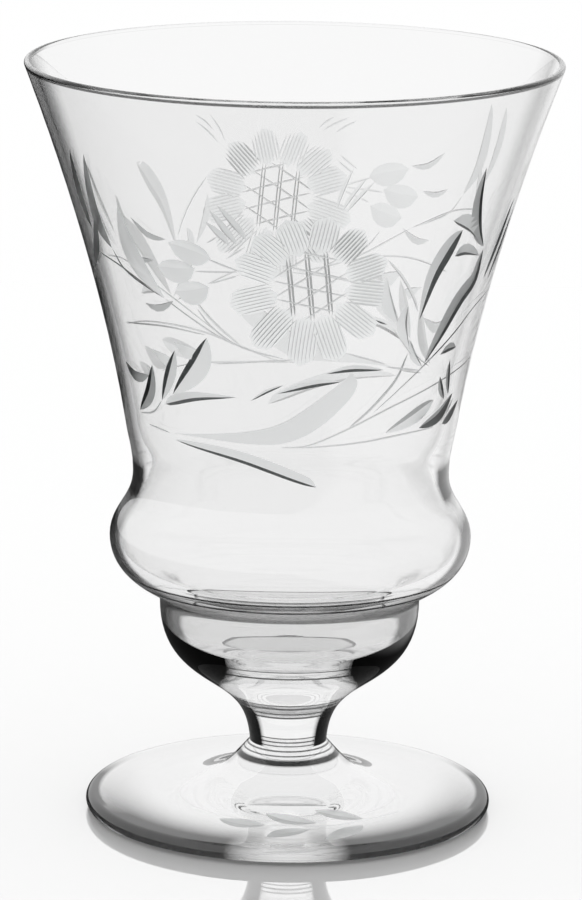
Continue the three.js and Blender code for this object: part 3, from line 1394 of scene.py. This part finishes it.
@dataclass
class Foot:
    """The round foot: a slight hollow, a flat resting ring, a rounded edge and a domed top."""

    radius: float = 34.8
    edge_thickness: float = 3.0
    edge_rounding: float = 1.4
    height: float = 12.0
    shoulder: Station = Station(12.2, 6.6, -62)
    neck_radius: float = 6.6
    neck_lean: float = -42.0
    edge_lean: float = -86.0
    edge_start: float = -40.0
    hollow_lean: float = 94.0
    resting_radius: float = 32.5
    resting_width: float = 4.0
    hollow_depth: float = 1.1
    hollow_curve: Curve = Curve(0.3, 0.5, 12)
    top_curve: Curve = Curve(0.3, 0.35, 24)
    neck_curve: Curve = Curve(0.3, 0.35, 14)
    cut_step: float = 1.0

    @property
    def edge(self) -> Station:
        """The place where the rounded edge passes into the top."""
        return Station(self.radius - self.edge_rounding, self.edge_thickness, self.edge_lean)

    def profile(self) -> list[Vector]:
        """Works out the foot's outline.

        Returns:
            The points, from the axis underneath to the axis on top.
        """
        hollow_top = Station(0, self.hollow_depth, LEVEL)
        hollow_edge = Station(self.resting_radius - self.resting_width, 0, self.hollow_lean)
        centre = Vector((self.edge.radius, self.edge_thickness - self.edge_rounding))
        neck = Station(self.neck_radius, self.height, self.neck_lean)
        return [
            *self.hollow_curve.points(hollow_top, hollow_edge),
            hollow_edge.point,
            Vector((self.resting_radius, 0)),
            *round_edge(centre, self.edge_rounding, self.edge_start, LEVEL),
            *self.top_curve.points(self.edge, self.shoulder),
            *self.neck_curve.points(self.shoulder, neck),
            neck.point,
            Vector((0, self.height)),
        ]

    def build(self, glass: Material, seam: Material, cut_glass: dict[Finish, Material]) -> Object:
        """Turns the foot, cuts its sprig and dresses it.

        Args:
            glass: The clear glass.
            seam: The material of the fused plane.
            cut_glass: The material of each finish of a cut.

        Returns:
            The finished foot.
        """
        piece = turn_on_axis("spun_foot", self.profile())
        dress(piece, glass, seam, self.height)
        top = Wall([*self.top_curve.points(self.edge, self.shoulder), self.shoulder.point], True)
        finishes = {**cut_glass, Finish.POLISHED: glass}
        cut_top = Engraver(top, Sprig().cuts(), self.cut_step).build("cut_top", finishes)
        inlay(piece, cut_top, top)
        settle(piece, Slot.FOOT, "foot")
        return piece


@dataclass
class Stem:
    """The short solid stem, narrow at the foot and opening out to the bowl."""

    base: float = 12.0
    length: float = 7.2
    bottom_radius: float = 6.6
    bottom_lean: float = 4.0
    top_radius: float = 9.15
    top_lean: float = 40.0
    curve: Curve = Curve(0.35, 0.35, 20)

    def build(self, glass: Material, seam: Material) -> Object:
        """Turns the stem and dresses it.

        Args:
            glass: The clear glass.
            seam: The material of the fused planes.

        Returns:
            The finished stem.
        """
        top = self.base + self.length
        start = Station(self.bottom_radius, self.base, self.bottom_lean)
        end = Station(self.top_radius, top, self.top_lean)
        profile = [Vector((0, self.base)), *self.curve.points(start, end), end.point, Vector((0, top))]
        piece = turn_on_axis("drawn_stem", profile)
        dress(piece, glass, seam, self.base, top)
        settle(piece, Slot.STEM, "stem")
        return piece


@dataclass
class Bowl:
    """The blown bowl: solid base, stepped-in cup, bulge, pinched waist and flared wall."""

    base: float = 19.2
    height: float = 110.8
    seam_radius: float = 9.15
    seam_lean: float = 40.0
    cup: Station = Station(22.2, 17.7, UPRIGHT)
    step: Station = Station(27.3, 22.3, 51)
    bulge: Station = Station(30.8, 29.2, UPRIGHT)
    waist: Station = Station(26.85, 40.3, UPRIGHT)
    flare: Station = Station(28.25, 49.6, 9)
    rim_radius: float = 45.2
    rim_lean: float = 20.5
    cup_wall: float = 1.7
    step_wall: float = 2.1
    bulge_wall: float = 1.7
    waist_wall: float = 2.4
    flare_wall: float = 1.9
    rim_wall: float = 1.1
    base_thickness: float = 9.8
    cup_curve: Curve = Curve(0.33, 0.53, 22)
    step_curve: Curve = Curve(0.3, 0.4, 10)
    belly_curve: Curve = Curve(0.19, 0.5, 12)
    waist_curve: Curve = Curve(0.36, 0.44, 14)
    throat_curve: Curve = Curve(0.42, 0.45, 8)
    flare_curve: Curve = Curve(0.16, 0.5, 26)
    floor_curve: Curve = Curve(0.9, 0.36, 24)
    lip_margin: float = 0.2
    cut_step: float = 1.1
    rear_lift: float = 1.6

    @property
    def stations(self) -> list[Station]:
        """The stations of the outside, at their height above what the glass stands on."""
        stations = (self.cup, self.step, self.bulge, self.waist, self.flare)
        return [replace(s, height=s.height + self.base) for s in stations]

    @property
    def lip(self) -> Station:
        """The middle of the rounded lip."""
        half = self.rim_wall / 2
        return Station(self.rim_radius - half, self.base + self.height - half, self.rim_lean)

    def side(self, chain: list[Station], first: Curve) -> list[Vector]:
        """Draws one side of the wall.

        Args:
            chain: Its stations, from the lowest to the lip.
            first: The curve up to the second station.

        Returns:
            The points, without the last.
        """
        curves = (first, self.step_curve, self.belly_curve, self.waist_curve, self.throat_curve,
                  self.flare_curve)
        return [p for c, a, b in zip(curves, chain, chain[1:]) for p in c.points(a, b)]

    def outer(self) -> list[Vector]:
        """Works out the outside of the wall.

        Returns:
            The points, from the seam up to the lip.
        """
        seam = Station(self.seam_radius, self.base, self.seam_lean)
        return self.side([seam, *self.stations, self.lip.inside(-self.rim_wall / 2)], self.cup_curve)

    def inner(self) -> list[Vector]:
        """Works out the inside of the wall.

        Returns:
            The points, from the middle of the floor up to the lip.
        """
        floor = Station(0, self.base + self.base_thickness, LEVEL)
        walls = (self.cup_wall, self.step_wall, self.bulge_wall, self.waist_wall, self.flare_wall)
        lip = self.lip.inside(self.rim_wall / 2)
        chain = [floor, *(s.inside(w) for s, w in zip(self.stations, walls)), lip]
        return [*self.side(chain, self.floor_curve), lip.point - lip.along * self.lip_margin, lip.point]

    def profile(self) -> list[Vector]:
        """Works out the bowl's outline.

        Returns:
            The points, up the outside, over the lip and down the inside.
        """
        over = round_edge(self.lip.point, self.rim_wall / 2, -self.rim_lean, HALF_TURN - self.rim_lean)
        return [Vector((0, self.base)), *self.outer(), *over, *reversed(self.inner())]

    def flared_wall(self) -> Wall:
        """Finds the part of the outside that carries the cut flowers.

        Returns:
            The wall from the waist up to the lip.
        """
        waist, flare = self.stations[-2:]
        lip = self.lip.inside(-self.rim_wall / 2)
        return Wall([*self.throat_curve.points(waist, flare), *self.flare_curve.points(flare, lip),
                     lip.point])

    def line_inside(self, piece: Object, glass: Material) -> None:
        """Gives the inside of the bowl its glass.

        Args:
            piece: The bowl.
            glass: The glass of the inside.
        """
        piece.data.materials.append(glass)
        heights, radii = np.array([(p.y, p.x) for p in self.outer()]).T
        for face in piece.data.polygons:
            middle = face.center / MM
            wall = np.interp(middle.z, heights, radii)
            within = math.hypot(middle.x, middle.y) < wall - SKIN_DEPTH
            if within and face.material_index == SKIN_SLOT:
                face.material_index = len(piece.data.materials) - 1

    def build(self, glass: Material, inner_glass: Material, seam: Material,
              cut_glass: dict[Finish, Material]) -> Object:
        """Turns the bowl, cuts its flowers and leaves, and dresses it.

        Args:
            glass: The clear glass of the outside.
            inner_glass: The clear glass of the inside.
            seam: The material of the fused plane.
            cut_glass: The material of each finish of a cut.

        Returns:
            The finished bowl.
        """
        piece = turn_on_axis("blown_bowl", self.profile())
        dress(piece, glass, seam, self.base)
        self.line_inside(piece, inner_glass)
        wall = self.flared_wall()
        front = Spray().cuts(wall, 0, 0, True)
        rear = Spray().cuts(wall, HALF_TURN, self.rear_lift, False)
        finishes = {**cut_glass, Finish.POLISHED: glass}
        engraver = Engraver(wall, [*front, *rear, *RearStrokes().cuts()], self.cut_step)
        inlay(piece, engraver.build("cut_wall", finishes), wall)
        settle(piece, Slot.BOWL, "bowl")
        return piece


@dataclass
class Studio:
    """The pale floor, the soft light and the camera, none of which is part of the glass.

    The floor is a pale mirror to the camera. What the glass itself reflects shows the floor
    painted dark, a painted reflection of an unlit room, except for a painted lit side on the
    right, and what is seen through the glass shows it evenly bright.
    """

    floor_size_m: float = 8.0
    floor_gap_mm: float = 0.05
    floor_colour: str = "#e6e6e6"
    # The floor as the glass reflects it: painted dark, and painted lit between these distances to the
    # right.
    unlit: str = "#3a3a3a"
    lit_from_m: float = 0.045
    lit_to_m: float = 0.075
    through_colour: str = "#616161"
    through_top_up: float = 0.9
    floor_top_up: float = 0.2
    shine_roughness: float = 0.02
    shine_low: float = 0.02
    shine_grazing: float = 0.78
    low_facing: float = 0.4
    grazing_facing: float = 0.85
    bounces: int = 32
    glossy_bounces: int = 24
    camera_distance_m: float = 0.8134
    camera_height_m: float = 0.2535
    camera_pitch: float = 13.18
    camera_roll: float = 0.58
    lens_mm: float = 196.5
    sensor_mm: float = 36.0
    nearest_m: float = 0.05
    farthest_m: float = 20.0

    def floor_finish(self) -> Material:
        """Makes the floor's material, polished white acrylic that mirrors more at a low view.

        Returns:
            The material.
        """
        material = blank_material("polished_white_acrylic")
        tree = material.node_tree
        ray = add_node(tree, "LightPath").outputs
        camera, through = ray["Is Camera Ray"], ray["Is Transmission Ray"]
        direct = add_node(tree, MINUS, 1.0, through)
        mirrored = add_node(tree, TIMES, ray["Is Glossy Ray"], direct)
        place = add_node(tree, "TexCoord").outputs["Object"]
        right = add_node(tree, "SeparateXYZ", place)
        lit = add_node(tree, SMOOTH, right, self.lit_from_m, self.lit_to_m)
        # Painted reflection: for rays that the glass only reflected, the floor is painted dark and
        # painted lit towards the right.
        room = add_node(tree, "MixRGB", lit, linear(self.unlit), linear(self.floor_colour))
        shown = add_node(tree, "MixRGB", mirrored, linear(self.floor_colour), room)
        shown = add_node(tree, "MixRGB", through, shown, linear(self.through_colour))
        matte = add_node(tree, "BsdfDiffuse", shown)
        level = add_node(tree, TIMES, through, self.through_top_up)
        lift = add_node(tree, TIMES_PLUS, camera, self.floor_top_up, level)
        glow = add_node(tree, "Emission", Strength=lift)
        body = add_node(tree, "AddShader", matte, glow)
        shine = add_node(tree, "BsdfGlossy", linear(WHITE), self.shine_roughness)
        facing = add_node(tree, "LayerWeight").outputs["Facing"]
        share = add_node(tree, "MapRange", facing, self.low_facing, self.grazing_facing,
                         self.shine_low, self.shine_grazing)
        share = add_node(tree, TIMES, share, camera)
        mixed = add_node(tree, "MixShader", share, body, shine)
        add_node(tree, "OutputMaterial", mixed)
        return material

    def build_floor(self) -> None:
        """Lays the floor and marks it as stage."""
        bpy.ops.object.select_all(action="DESELECT")
        place = (0, 0, -self.floor_gap_mm * MM)
        bpy.ops.mesh.primitive_plane_add(size=self.floor_size_m, location=place)
        floor = bpy.context.object
        floor.name = "pale_floor"
        floor.data.materials.append(self.floor_finish())

    def build_light(self) -> None:
        """Hangs an even white sky, and lets light go far enough through the thick glass."""
        world = bpy.data.worlds.new("soft_studio")
        bpy.context.scene.world = world
        world.use_nodes = True
        tree = world.node_tree
        tree.nodes.clear()
        sky = add_node(tree, "Background", linear(WHITE))
        add_node(tree, "OutputWorld", sky)
        world.cycles.sampling_method = "NONE"
        cycles = bpy.context.scene.cycles
        cycles.max_bounces = cycles.transmission_bounces = self.bounces
        cycles.glossy_bounces = self.glossy_bounces

    def build_camera(self) -> None:
        """Sets the camera at the photograph's angle."""
        data = bpy.data.cameras.new("studio_camera")
        data.lens = self.lens_mm
        data.sensor_width = self.sensor_mm
        data.clip_start = self.nearest_m
        data.clip_end = self.farthest_m
        camera = bpy.data.objects.new("studio_camera", data)
        bpy.context.scene.collection.objects.link(camera)
        tilt = Matrix.Rotation(math.radians(LEVEL - self.camera_pitch), 4, "X")
        roll = Matrix.Rotation(math.radians(self.camera_roll), 4, "Z")
        place = Matrix.Translation((0, -self.camera_distance_m, self.camera_height_m))
        camera.matrix_world = place @ tilt @ roll
        bpy.context.scene.camera = camera

    def build(self) -> None:
        """Builds the camera, the light and the floor."""
        self.build_camera()
        self.build_light()
        self.build_floor()
        bpy.context.scene.view_settings.view_transform = "Standard"


# Tints by facing: painted grey and dark shade towards the outline.
FOOT_SHADES = ((0.28, "#f2f2f2"), (0.62, "#f0f0f0"), (0.74, "#b0b0b0"), (0.88, "#606060"))
INNER_SHADES = ((0.28, "#f6f6f6"), (0.68, "#f0f0f0"), (0.80, "#b0b0b0"), (0.90, "#707070"))
# Painted dark bands, painted dark flanks and the foot's painted shade, laid over the tints.
FOOT_ZONES = (PaintedDarkBand(11.6, 0.16, 0.97), PaintedDarkBand(10.9, 0.14, 0.95), FootShade())
STEM_ZONES = (
    PaintedDarkBand(19.4, 1.7, 0.7), PaintedDarkBand(18.7, 0.2, 0.98), PaintedDarkBand(17.9, 0.26, 0.99),
    PaintedDarkBand(13.8, 0.16, 0.95), PaintedDarkBand(13.1, 0.18, 0.97), PaintedDarkBand(12.4, 0.16, 0.95),
    DarkFlanks(start_high=0.26, start_low=0.26, top_inside=99.0, top_at_outline=99.0))
BOWL_ZONES = (
    PaintedDarkBand(19.4, 1.7, 0.7), PaintedDarkBand(20.7, 0.2, 0.98), PaintedDarkBand(19.9, 0.24, 0.99),
    PaintedDarkBand(28.0, 0.24, 0.98), PaintedDarkBand(29.4, 0.16, 0.95), PaintedDarkBand(41.5, 0.34, 0.998),
    PaintedDarkBand(43.1, 0.3, 0.995), PaintedDarkBand(129.2, 0.34, 0.96), PaintedDarkBand(59.2, 5.0, 0.995, 0.6),
    PaintedDarkBand(34.5, 8.0, 0.3), PaintedDarkBand(37.0, 6.5, 0.9, 0.45), PaintedDarkBand(48.0, 6.5, 0.92, 0.6),
    DarkFlanks())
# Each finish's tint and its tint leaning away: the pale tints are the ground glass's own grey, and the
# darker ones are painted shade, with STEEP painted near-black.
GROUND_GLASS = (
    GroundGlass(BROAD, "#dadcdc", "#777a7a"),
    GroundGlass(GREY_SHADE, "#9a9c9c", "#5a5c5c"),
    GroundGlass(FINE, "#eceeee", "#9a9c9c"),
    GroundGlass(SHADED, "#aeb0b0", "#6a6c6c"),
    GroundGlass(SOFT, "#c8caca", "#8a8c8c"),
    GroundGlass(DEEP, "#7c7e7e", "#5c5e5e", within_share=0.0),
    GroundGlass(STEEP, "#0e1010", "#0a0c0c"),
    GroundGlass(PETAL, "#f8fafa", "#b4b6b6"),
)


def main() -> None:
    """Loads the frame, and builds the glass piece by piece."""
    logging.basicConfig(level=logging.INFO, format="%(name)s: %(message)s")
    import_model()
    Studio().build()
    seam = FusedSeam().build()
    cut_glass = {ground.finish: ground.build() for ground in GROUND_GLASS}
    inner_glass = ClearGlass("blown_inner_glass", shades=INNER_SHADES).build()
    foot_glass = ClearGlass("spun_foot_glass", FOOT_SHADES, FOOT_SHADES, FOOT_ZONES).build()
    Foot().build(foot_glass, seam, cut_glass)
    stem_glass = ClearGlass("drawn_stem_glass", zones=STEM_ZONES).build()
    Stem().build(stem_glass, seam)
    bowl_glass = ClearGlass(Finish.POLISHED.value, zones=BOWL_ZONES).build()
    Bowl().build(bowl_glass, inner_glass, seam, cut_glass)


if __name__ == "__main__":
    main()
